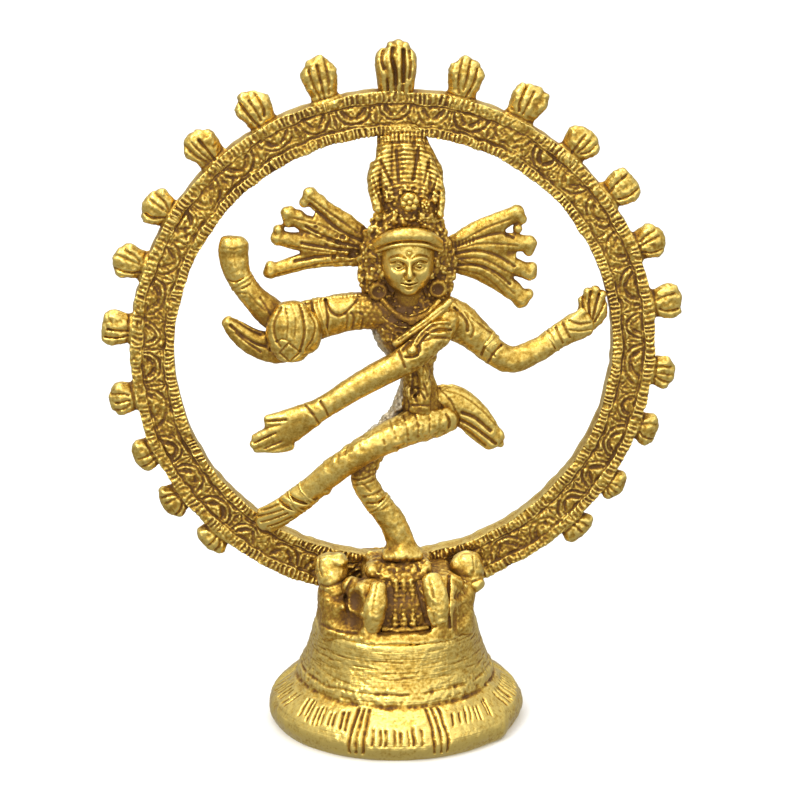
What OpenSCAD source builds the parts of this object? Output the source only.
// Dancing four-armed figure inside a flaming ring, on a bell-shaped pedestal.
// Small table ornament in cast brass. All sizes are in millimetres.
// X runs across the front, +Y points to the back and +Z is up.
// The origin is the middle of the pedestal's flat bottom rim.

/* [Pedestal] */
// Radius of the pedestal's bottom rim
base_r = 17.6; // [17.2:0.1:18.2]
// Largest radius of the rounded flange lip
lip_r = 18.5; // [18.2:0.1:19.5]
// Radius of the drum just above the flange moulding
drum_r = 13.5; // [13.2:0.1:13.8]
// Height of the drum's flat top
drum_z = 15; // [14.8:0.1:15.2]
// Wall thickness of the hollow pedestal
base_wall = 2.5; // [1.5:0.1:3.2]

/* [Plinth] */
// Radius of the short round neck under the plinth
neck_r = 11.2; // [10.9:0.1:11.4]
// Height of the top of the slab that the foot stands on
slab_z = 25; // [24.6:0.1:25.4]

/* [Ring] */
// Height of the ring's centre
ring_z = 55; // [54.8:0.1:55.2]
// Inner radius of the ring
ring_in = 31.2; // [30.9:0.1:31.5]
// Outer radius of the ring
ring_out = 37.4; // [37:0.1:37.8]
// Distance of the ring's front face behind the pedestal's axis
ring_y = 1.5; // [1.2:0.1:1.8]
// Thickness of the ring from front to back
ring_t = 3.2; // [2.8:0.1:3.6]

/* [Flames] */
// Width of a flame on the ring's rim
flame_w = 4.9; // [3.6:0.1:5.6]
// Thickness of a flame from front to back
flame_t = 2.8; // [2:0.1:3]
// Height of the large flame at the top of the ring
top_flame_h = 7.4; // [6:0.1:8]

/* [Figure] */
// Half width of the head across the cheeks
head_w = 3.9; // [3.6:0.1:4.2]
// Radius of the round ear ornaments
ear_r = 1.25; // [1:0.05:1.4]
// Radius of the round ornament on the front of the crown
medal_r = 1.5; // [1.2:0.1:1.7]
// How far a band stands out from the arm or leg that it goes round
band_h = 0.3; // [0.2:0.05:0.45]

/* [Hidden] */
brass = [0.80, 0.62, 0.24];
pale = [0.88, 0.74, 0.38];
dark = [0.52, 0.37, 0.15];
$fn = 64;
// Angle of each flame from the top, clockwise, and the radius of its tip
flames = [[14.5, 43.6], [28, 42.9], [42, 41.9], [55, 41.9], [68, 41.7], [81.5, 41.8], [96.5, 40.8], [109.5, 40.4], [124, 39.8], [136, 40.1],
  [-14.5, 44.2], [-29, 43], [-42, 42.7], [-57.5, 41.5], [-70, 42.1], [-84.5, 41.6], [-100, 41.3], [-113, 40.3], [-125, 40.5], [-137, 39.9]];

// ---- Rounded limb: a smooth tube through points [x, y, z, half width, half depth] ----
function unit(v) = v / norm(v);
function bend(a, b, c, d, t) = 0.5 * ((2 * b) + (c - a) * t + (2 * a - 5 * b + 4 * c - d) * t * t + (3 * b - a - 3 * c + d) * t * t * t);
function smooth(p, k) = let (n = len(p)) [for (i = [0:n - 2]) for (j = [0:k - 1]) bend(p[max(i - 1, 0)], p[i], p[i + 1], p[min(i + 2, n - 1)], j / k), p[n - 1]];
function ring_pts(c, t, a, b, n) = let (u = unit(cross([0, 1, 0], t)), v = cross(t, u)) [for (i = [0:n - 1]) c + u * a * cos(360 * i / n) + v * b * sin(360 * i / n)];
module limb(p, n = 12, k = 2, e = 0.8, dome = [65, 28]) {
  q = smooth(p, k);
  m = len(q);
  c = [for (s = q) [s[0], s[1], s[2]]];
  t = [for (i = [0:m - 1]) unit(c[min(i + 1, m - 1)] - c[max(i - 1, 0)])];
  z = m - 1;
  rings = concat(
    [for (g = dome) ring_pts(c[0] - t[0] * min(q[0][3], q[0][4]) * e * sin(g), t[0], q[0][3] * cos(g), q[0][4] * cos(g), n)],
    [for (i = [0:z]) ring_pts(c[i], t[i], q[i][3], q[i][4], n)],
    [for (g = [for (i = [len(dome) - 1:-1:0]) dome[i]]) ring_pts(c[z] + t[z] * min(q[z][3], q[z][4]) * e * sin(g), t[z], q[z][3] * cos(g), q[z][4] * cos(g), n)]);
  w = len(rings);
  pts = concat([for (r = rings) each r], [c[0] - t[0] * min(q[0][3], q[0][4]) * e, c[z] + t[z] * min(q[z][3], q[z][4]) * e]);
  polyhedron(pts, concat(
    [for (i = [0:w - 2]) for (j = [0:n - 1]) let (a = i * n + j, b = i * n + (j + 1) % n, d = (i + 1) * n + j, f = (i + 1) * n + (j + 1) % n) each [[a, d, f], [a, f, b]]],
    [for (j = [0:n - 1]) [w * n, j, (j + 1) % n]],
    [for (j = [0:n - 1]) [w * n + 1, (w - 1) * n + (j + 1) % n, (w - 1) * n + j]]));
}
// Solid made of joined limbs, less the pieces that it meets
module fitted() { resize([0, 0, 0]) difference() { children(0); children([1:1:$children - 1]); } }

// Space that the ring fills
module ring_space() { translate([0, ring_y, ring_z]) rotate([-90, 0, 0]) difference() { cylinder(r = ring_out, h = ring_t, $fn = 140); translate([0, 0, -1]) cylinder(r = ring_in, h = ring_t + 2, $fn = 140); } }

// ---- Plain forms of the figure's pieces ----
module torso_form() { limb([[3.8, -1.2, 45.4, 2.4, 2.0], [3.7, -1.3, 47.6, 2.9, 2.4], [3.4, -1.3, 50.2, 2.3, 2.1], [3.1, -1.2, 52.8, 1.9, 1.9], [2.8, -1.4, 55.6, 3.3, 2.4], [2.2, -1.6, 58.8, 4.6, 2.9], [2.0, -1.3, 61.4, 5.0, 2.5], [1.9, -1.4, 63.4, 2.4, 2.0], [1.8, -1.6, 65.2, 2.1, 1.9]], n = 14); }
module head_form() { limb([[1.7, -2.2, 65.4, 2.3, 2.3], [1.65, -2.1, 67.4, 3.5, 3.1], [1.6, -2.0, 69.6, head_w, 3.4], [1.6, -1.9, 71.6, head_w - 0.1, 3.2], [1.6, -1.7, 73.2, 3.2, 2.7]], n = 16, e = 0.5); }
module crown_form() { limb([[2.2, -0.5, 74.5, 4.2, 2.6], [2.0, 0.1, 76.9, 4.8, 2.5], [1.7, 0.7, 79.8, 5.25, 2.3], [1.4, 1.5, 82.9, 4.3, 2.0], [1.0, 2.5, 86.3, 3.4, 1.6], [0.8, 3.0, 88.4, 3.1, 1.3]], n = 15); }
module hair_form() { limb([[1.6, 0.6, 63.4, 4.6, 1.9], [1.6, 0.4, 66, 6.4, 2.3], [1.6, 0.3, 68.6, 6.7, 2.4], [1.6, 0.2, 71.4, 5.8, 2.3], [1.8, 0.2, 74, 4.3, 2.2]], n = 14); }
module r_upper_form() { limb([[-2.2, -1.1, 61.6, 2.6, 2.3], [-6, -1.0, 61.6, 2.7, 2.1], [-10, -1.1, 60.9, 2.9, 2.1], [-13.6, -1.2, 60.0, 3.0, 2.1], [-16.2, -1.2, 59.9, 2.5, 1.9]]); }
module r_fore_form() { limb([[-16.0, -1.1, 60.2, 2.3, 1.9], [-17.9, -0.9, 61.9, 2.0, 1.8], [-20.3, -0.8, 64.4, 1.7, 1.6], [-21.8, -0.7, 66.6, 1.8, 1.6]]); }
module r_hand_form() { limb([[-21.9, -0.7, 66.8, 1.8, 1.5], [-22.5, -0.6, 68.6, 2.0, 1.5], [-22.7, -0.4, 70.6, 2.15, 1.4], [-22.5, -0.4, 72.2, 1.9, 1.3]], e = 0.35); }
module drum_form() { limb([[-15.0, -3.5, 56.0, 2.0, 1.5], [-14.9, -3.4, 57.6, 3.2, 1.9], [-14.8, -3.3, 59.4, 3.6, 2.0], [-14.8, -3.2, 61.4, 3.2, 1.9], [-14.8, -3.1, 63.0, 2.1, 1.5]], n = 14, e = 0.6); }
module low_hand_form() { limb([[-14.6, -1.2, 56.6, 1.9, 1.5], [-17.0, -1.3, 56.2, 1.9, 1.4], [-19.9, -1.2, 57.3, 1.9, 1.3], [-22.4, -1.1, 59.2, 1.5, 1.1], [-23.7, -1.0, 60.5, 0.9, 0.8]]); }
module l_upper_form() { limb([[5.6, -1.0, 61.0, 2.9, 2.3], [8.4, -1.0, 60.0, 2.9, 2.2], [11.3, -1.0, 57.7, 2.3, 2.0], [14.0, -1.0, 55.2, 1.9, 1.8], [16.6, -0.9, 53.8, 1.9, 1.7]]); }
module l_fore_form() { limb([[16.8, -0.9, 53.8, 1.9, 1.7], [20.2, -0.5, 55.1, 1.75, 1.6], [23.2, -0.1, 57.0, 1.6, 1.5]]); }
module l_hand_form() { limb([[23.4, -0.1, 57.1, 1.6, 1.4], [25.6, 0.2, 58.2, 2.1, 1.5], [27.2, 0.5, 58.7, 1.9, 1.4]]); }
module cross_form() { limb([[7.0, -2.6, 60.4, 2.3, 2.2], [5.2, -4.2, 58.3, 2.1, 2.0], [2.8, -5.0, 56.6, 2.1, 1.9], [0.0, -5.2, 54.9, 2.0, 1.8], [-4.8, -5.3, 52.4, 1.9, 1.6], [-9.6, -5.2, 49.4, 1.65, 1.4], [-12.2, -5.1, 47.8, 1.8, 1.3]]); }
module cross_hand_form() { limb([[-12.4, -5.1, 47.7, 1.9, 1.25], [-15.4, -5.0, 46.0, 2.7, 1.2], [-18.2, -4.9, 44.6, 2.2, 1.1], [-20.2, -4.8, 43.9, 1.3, 0.8]]); }
module thigh_form() { limb([[6.8, -1.6, 45.6, 2.2, 2.2], [4.5, -2.2, 45.3, 2.5, 2.4], [1.6, -3.0, 44.7, 2.4, 2.3], [-2.0, -3.7, 43.3, 2.2, 2.1], [-5.3, -3.9, 41.5, 2.0, 1.9]]); }
module shin_form() { limb([[-5.5, -3.9, 41.4, 2.0, 1.8], [-8.6, -3.5, 39.1, 1.9, 1.7], [-11.6, -2.8, 36.3, 1.85, 1.6], [-13.6, -2.3, 34.4, 1.9, 1.5]]); }
module r_foot_form() { limb([[-13.8, -2.2, 34.2, 2.0, 1.5], [-16.0, -1.4, 32.4, 2.0, 1.5], [-18.0, -0.4, 30.9, 1.7, 1.6], [-19.1, 0.2, 30.0, 1.3, 1.5]]); }
module leg_form() { limb([[-2.6, -1.4, 42.2, 1.8, 1.6], [-4.4, -1.6, 38.6, 1.7, 1.7], [-4.7, -1.7, 36.6, 1.8, 1.8], [-3.2, -1.8, 34.0, 1.9, 1.9], [-1.0, -1.8, 31.1, 1.9, 1.8], [0.2, -1.9, 28.4, 1.8, 1.7], [0.7, -2.0, 26.4, 1.9, 1.8]]); }
module foot_form() { limb([[-1.2, -2.2, 25.5, 1.1, 2.2], [0.9, -2.4, 26.0, 1.5, 2.7], [3.0, -2.3, 25.5, 1.1, 2.1]]); }

// Pieces of the base, as plain forms
module neck_form() { translate([0, 0, drum_z]) intersection() { cylinder(r = neck_r, h = 4.8); translate([-15, -9.6, 0]) cube([30, 17, 5]); } }
module core_form() { translate([-4.9, 0, 0]) rotate([90, 0, 90]) linear_extrude(12.8) polygon([[-8.6, drum_z + 4.8], [-8, 20.8], [-6.2, 23.2], [7, 23.2], [7.4, drum_z + 4.8]]); }
module slab_form() { translate([-4.6, -5.4, 23.2]) cube([9.6, ring_y + 5.4, slab_z - 23.2]); }

// ---- Pedestal ----
module base_bell() {
  color(brass) rotate_extrude($fn = 96) polygon([[base_r - base_wall, 0], [base_r, 0], [lip_r - 0.3, 0.8], [lip_r, 1.9], [lip_r - 0.2, 2.9], [17.7, 3.8], [16.6, 4.8], [15.4, 5.8], [14.5, 6.5], [drum_r + 0.45, 7.0], [drum_r + 0.4, 8.0], [drum_r - 0.1, 8.8], [12.9, 10.2], [12.5, 11.4], [12.1, 13], [11.8, 14.5], [11.4, drum_z], [0, drum_z],
    [0, drum_z - base_wall], [11.4 - base_wall, drum_z - base_wall], [12.2 - base_wall, 11], [drum_r - base_wall, 7.5], [drum_r + 0.4 - base_wall, 5], [16.8 - base_wall, 2.6]]);
}
module plinth_neck() { color(brass) difference() { neck_form(); translate([-2.2, -12, drum_z - 1]) cube([7.2, 4.2, 8]); ring_space(); } }
module plinth_core() { color(dark) difference() { core_form(); translate([-2.2, -12, drum_z]) cube([7.2, 5.6, 8]); ring_space(); } }
// Two rounded lobes on the front, either side of the sunk panel
module lobe_body(r, h) { rotate_extrude($fn = 32) polygon([[0, -h / 2], [0.6 * r, -0.43 * h], [0.92 * r, -0.25 * h], [r, 0], [0.92 * r, 0.25 * h], [0.6 * r, 0.43 * h], [0, h / 2]]); }
module plinth_lobes() {
  color(pale) difference() {
    union() {
      translate([-4.0, -9.4, 19.3]) rotate([-15, 0, 0]) lobe_body(1.6, 8);
      translate([6.7, -8.9, 19.8]) rotate([-15, -6, 0]) lobe_body(1.5, 7.4);
    }
    neck_form();
    core_form();
  }
}
// Three upright rows of beads in the sunk panel
module beads_form() { for (x = [-0.4, 1.2, 2.9]) limb([[x, -8.0, 17.3, 0.45, 0.8], [x, -7.6, 19.6, 0.5, 0.8], [x, -6.9, 22.0, 0.45, 0.8]], n = 10); }
module plinth_beads() { color(pale) fitted() { beads_form(); difference() { union() { neck_form(); core_form(); } translate([-2.2, -12, drum_z - 1]) cube([7.2, 4.2, 5.8]); translate([-2.2, -12, drum_z]) cube([7.2, 5.6, 8]); } } }
module plinth_slab() { color(brass) difference() { slab_form(); ring_space(); } }
// Rounded knobs in front of the two places where the ring enters the plinth
module knobs_form() { limb([[-9.0, -0.9, 20.6, 1.9, 1.9], [-9.5, -1.1, 23.2, 2.1, 2.2], [-9.6, -1.0, 25.2, 1.7, 1.9]]); limb([[10.4, -0.9, 20.8, 1.7, 1.9], [10.7, -1.1, 23.0, 2.0, 2.2], [10.5, -1.0, 24.8, 1.6, 1.9]]); }
module plinth_knobs() { color(brass) fitted() { knobs_form(); ring_space(); union() { neck_form(); core_form(); } } }

// ---- Ring of flames ----
module ring() {
  color(brass) translate([0, ring_y, ring_z]) rotate([-90, 0, 0]) rotate_extrude($fn = 140) polygon([[ring_in, 0.3], [ring_in + 0.25, 0], [ring_in + 1.3, 0], [ring_in + 1.45, 0.4], [ring_in + 1.85, 0.4], [ring_in + 2, 0.1], [ring_out - 2, 0.1], [ring_out - 1.9, 0.4], [ring_out - 1.5, 0.4], [ring_out - 1.4, 0], [ring_out - 0.25, 0], [ring_out, 0.3],
    [ring_out, ring_t - 0.3], [ring_out - 0.3, ring_t], [ring_in + 0.3, ring_t], [ring_in, ring_t - 0.3]]);
}
function lobe(x, y, r, a, b) = [for (i = [0:6]) let (g = a + (b - a) * i / 6) [x + r * cos(g), y + r * sin(g)]];
module flame_shape(h, w) { polygon(concat([[-0.34 * w, -1], [0.34 * w, -1], [0.38 * w, 0.2 * h], [0.47 * w, 0.5 * h]],
  lobe(0.29 * w, 0.88 * h - 0.19 * w, 0.19 * w, -15, 100), lobe(0, h - 0.19 * w, 0.19 * w, 35, 145), lobe(-0.29 * w, 0.88 * h - 0.19 * w, 0.19 * w, 80, 195), [[-0.47 * w, 0.5 * h], [-0.38 * w, 0.2 * h]])); }
module ring_flames() {
  color(brass) for (f = flames) difference() {
    translate([0, ring_y + ring_t / 2 + flame_t / 2, ring_z]) rotate([0, f[0], 0]) translate([0, 0, ring_out]) rotate([90, 0, 0]) linear_extrude(flame_t) flame_shape(f[1] - ring_out, flame_w);
    translate([0, 0, ring_z]) rotate([-90, 0, 0]) cylinder(r = ring_out, h = 8, $fn = 140);
  }
}
module top_flame() { color(pale) fitted() { limb([[0.35, ring_y + 1.6, ring_z + 36.6, 2.4, 1.5], [0.35, ring_y + 1.6, ring_z + 39.6, 3.05, 1.7], [0.4, ring_y + 1.6, ring_z + 42.2, 2.7, 1.5], [0.5, ring_y + 1.6, ring_z + ring_out + top_flame_h - 1.1, 1.6, 1.2]], n = 14); translate([0, 0, ring_z]) rotate([-90, 0, 0]) cylinder(r = ring_out, h = 8, $fn = 140); } }

// ---- Body ----
module torso() { color(dark) fitted() { torso_form(); head_form(); } }
module hip_sash() { color(brass) fitted() { limb([[5.0, -1.0, 48.0, 2.2, 1.6], [7.6, -1.0, 47.6, 2.9, 1.7], [10.1, -1.2, 46.4, 2.6, 1.5], [12.3, -1.4, 44.1, 2.3, 1.3], [14.1, -1.6, 41.7, 1.5, 1.1]]); torso_form(); thigh_form(); } }
module flash_webs() { color(dark) fitted() { union() { limb([[1.4, -0.6, 51.4, 1.2, 0.8], [0.4, -0.6, 48.4, 1.7, 0.9], [-2.2, -0.9, 45.6, 1.6, 0.9]]); limb([[-2.0, -0.6, 58.8, 1.5, 0.9], [-0.6, -0.7, 55.8, 1.4, 0.9]]); } torso_form(); thigh_form(); r_upper_form(); leg_form(); cross_form(); } }
module scarf_form() { limb([[7.2, -3.4, 62.8, 0.5, 0.6], [4.2, -4.3, 61.0, 0.6, 0.7], [1.2, -4.4, 59.0, 0.6, 0.7], [-1.4, -3.6, 57.0, 0.5, 0.6]], n = 10); }
module chest_scarf() { color(pale) fitted() { scarf_form(); torso_form(); cross_form(); l_upper_form(); r_upper_form(); } }
module necklaces() { color(pale) fitted() { union() { limb([[-1.6, -3.0, 63.4, 0.4, 0.6], [0.4, -4.0, 61.8, 0.45, 0.7], [2.2, -4.2, 61.3, 0.45, 0.7], [4.2, -3.9, 61.8, 0.45, 0.7], [5.8, -3.0, 63.2, 0.4, 0.6]], n = 8, k = 2); } torso_form(); head_form(); scarf_form(); cross_form(); l_upper_form(); r_upper_form(); ears_form(); } }

// ---- Head, hair and crown ----
module head() { color(pale) head_form(); }
module hair_cap() { color(dark) fitted() { hair_form(); head_form(); torso_form(); r_upper_form(); l_upper_form(); } }
module diadem_form() { limb([[-2.7, -3.0, 72.5, 0.6, 0.9], [-0.8, -4.4, 73.6, 0.85, 1.1], [1.6, -4.9, 74.0, 0.95, 1.1], [4.0, -4.4, 73.6, 0.85, 1.1], [5.9, -3.0, 72.4, 0.6, 0.9]], n = 12); }
module diadem() { color(pale) fitted() { diadem_form(); head_form(); hair_form(); crown_form(); } }
module crown() { color(brass) fitted() { crown_form(); head_form(); hair_form(); ring_space(); } }
// Ribs that fan upward over the crown
module ribs_form() { for (i = [-2:2]) limb([[2.0 + i * 1.2, -2.5 + abs(i) * 0.3, 78.4 - abs(i) * 0.3, 0.55, 0.6], [1.7 + i * 1.9, -1.7 + abs(i) * 0.45, 81.0 - abs(i) * 0.4, 0.7, 0.6], [1.4 + i * 2.05, -0.8 + abs(i) * 0.5, 83.2 - abs(i) * 0.9, 0.6, 0.6]], n = 10); }
module crown_ribs() { color(brass) fitted() { ribs_form(); crown_form(); ring_space(); } }
module medal_space() { for (m = [[1.8, 77.0, medal_r], [4.3, 76.8, 0.8]]) translate([m[0], -1, m[1]]) rotate([90, 0, 0]) cylinder(r = m[2], h = 2.3, $fn = 32); }
module crown_medals() { color(pale) fitted() { medal_space(); crown_form(); ribs_form(); diadem_form(); } }
module ears_form() { for (x = [-2.5, 5.8]) translate([x, -1.6, 64.7]) rotate([90, 0, 0]) cylinder(r = ear_r, h = 1.5, $fn = 32); }
module ear_discs() { color(brass) fitted() { ears_form(); head_form(); torso_form(); hair_form(); r_upper_form(); l_upper_form(); } }
module hair_fan_left() { color(brass) fitted() { union() {
  limb([[-3.4, 0.9, 70.6, 1.1, 0.9], [-8.0, 1.0, 73.8, 1.3, 1.0], [-12.0, 1.0, 77.0, 1.1, 0.9]], n = 12);
  limb([[-3.4, 0.9, 69.8, 1.1, 0.9], [-9.0, 1.0, 71.8, 1.3, 1.0], [-14.8, 1.0, 74.3, 1.1, 0.9]], n = 12);
  limb([[-3.4, 0.9, 69.0, 1.1, 0.9], [-9.6, 1.0, 69.8, 1.3, 1.0], [-13.4, 1.0, 70.9, 1.1, 0.9], [-16.4, 1.0, 70.6, 1.1, 0.9]], n = 12);
  limb([[-3.4, 0.9, 68.6, 0.9, 0.8], [-10.4, 1.0, 68.6, 1.1, 0.9], [-14.4, 1.0, 67.6, 1.1, 0.9], [-17.4, 1.0, 66.6, 1.1, 0.9]], n = 12); }
  hair_form(); } }
module hair_fan_right() { color(brass) fitted() { union() {
  limb([[6.8, 0.9, 69.6, 1.0, 0.9], [12.0, 1.0, 71.8, 1.3, 1.0], [16.8, 1.0, 73.9, 1.2, 0.9]], n = 12);
  limb([[6.8, 0.9, 69.0, 1.0, 0.9], [12.6, 1.0, 69.9, 1.4, 1.0], [16.0, 1.0, 70.6, 1.3, 0.9], [19.0, 1.0, 69.9, 1.1, 0.9]], n = 12);
  limb([[6.8, 0.9, 68.4, 1.0, 0.9], [12.4, 1.0, 68.2, 1.3, 1.0], [16.4, 1.0, 67.2, 1.3, 0.9], [19.2, 1.0, 65.8, 1.0, 0.9]], n = 12);
  limb([[6.8, 0.9, 67.8, 1.0, 0.9], [12.2, 1.0, 66.6, 1.3, 1.0], [15.8, 1.0, 64.2, 1.2, 0.9], [18.1, 1.0, 61.9, 1.0, 0.9]], n = 12); }
  hair_form(); } }

// ---- Arms ----
module right_upper_arm() { color(brass) fitted() { r_upper_form(); torso_form(); } }
module hand_drum() { color(pale) fitted() { drum_form(); r_upper_form(); r_fore_form(); low_hand_form(); } }
module raised_forearm() { color(brass) fitted() { r_fore_form(); r_upper_form(); } }
module raised_hand() { color(brass) fitted() { r_hand_form(); r_fore_form(); } }
module lowered_hand() { color(brass) fitted() { low_hand_form(); r_upper_form(); r_fore_form(); } }
module left_upper_arm() { color(brass) fitted() { l_upper_form(); torso_form(); cross_form(); } }
module left_forearm() { color(brass) fitted() { l_fore_form(); l_upper_form(); } }
module left_rear_hand() { color(brass) fitted() { l_hand_form(); l_fore_form(); } }
module hand_flame() { color(pale) fitted() { limb([[27.2, 1.2, 58.0, 1.3, 1.3], [28.3, 1.9, 60.4, 2.5, 1.8], [28.4, 2.0, 62.4, 1.6, 1.3]], n = 14); l_hand_form(); l_fore_form(); ring_space(); } }
module crossing_arm() { color(pale) fitted() { cross_form(); torso_form(); } }
module crossing_hand() { color(pale) fitted() { union() { cross_hand_form(); limb([[-14.6, -5.1, 47.6, 0.7, 0.8], [-18.0, -5.1, 47.3, 0.75, 0.8]], n = 10); } cross_form(); } }

// ---- Legs ----
module raised_thigh() { color(brass) fitted() { thigh_form(); torso_form(); } }
module raised_shin() { color(brass) fitted() { shin_form(); thigh_form(); } }
module raised_foot() { color(brass) fitted() { r_foot_form(); shin_form(); ring_space(); } }
module standing_leg() { color(brass) fitted() { leg_form(); thigh_form(); shin_form(); translate([-20, -20, slab_z - 10]) cube([40, 40, 10]); } }
module standing_foot() { color(brass) fitted() { foot_form(); leg_form(); ring_space(); translate([-20, -20, slab_z - 10]) cube([40, 40, 10]); } }

// ---- Bands round the arms and legs ----
module band(a, b, w, d) { limb([[a[0], a[1], a[2], w + band_h, d + band_h], [b[0], b[1], b[2], w + band_h, d + band_h]], k = 1, e = 0.1, dome = [50]); }
module armlets() { color(pale) fitted() { union() { band([-10.2, -1.1, 60.9], [-11.0, -1.1, 60.7], 2.9, 2.1); band([12.4, -1.0, 56.7], [13.2, -1.0, 55.9], 2.1, 1.9); } r_upper_form(); l_upper_form(); drum_form(); } }
module bracelets() { color(pale) fitted() { union() { band([-21.4, -0.7, 65.9], [-21.8, -0.7, 66.6], 1.8, 1.6); band([22.2, -0.2, 56.3], [22.9, -0.1, 56.8], 1.65, 1.5); } r_fore_form(); r_hand_form(); l_fore_form(); l_hand_form(); } }
module leg_bands() { color(pale) fitted() { union() { band([-12.6, -2.55, 35.4], [-13.1, -2.4, 34.9], 1.9, 1.55); band([-14.1, -2.15, 34.0], [-14.6, -1.95, 33.6], 2.0, 1.5); band([-2.7, -1.8, 33.4], [-2.3, -1.8, 32.9], 1.9, 1.85); } shin_form(); r_foot_form(); leg_form(); } }

base_bell();
plinth_neck();
plinth_core();
plinth_lobes();
plinth_beads();
plinth_slab();
plinth_knobs();
ring();
ring_flames();
top_flame();
torso();
hip_sash();
flash_webs();
chest_scarf();
necklaces();
head();
hair_cap();
diadem();
crown();
crown_ribs();
crown_medals();
ear_discs();
hair_fan_left();
hair_fan_right();
right_upper_arm();
hand_drum();
raised_forearm();
raised_hand();
lowered_hand();
left_upper_arm();
left_forearm();
left_rear_hand();
hand_flame();
crossing_arm();
crossing_hand();
raised_thigh();
raised_shin();
raised_foot();
standing_leg();
standing_foot();
armlets();
bracelets();
leg_bands();
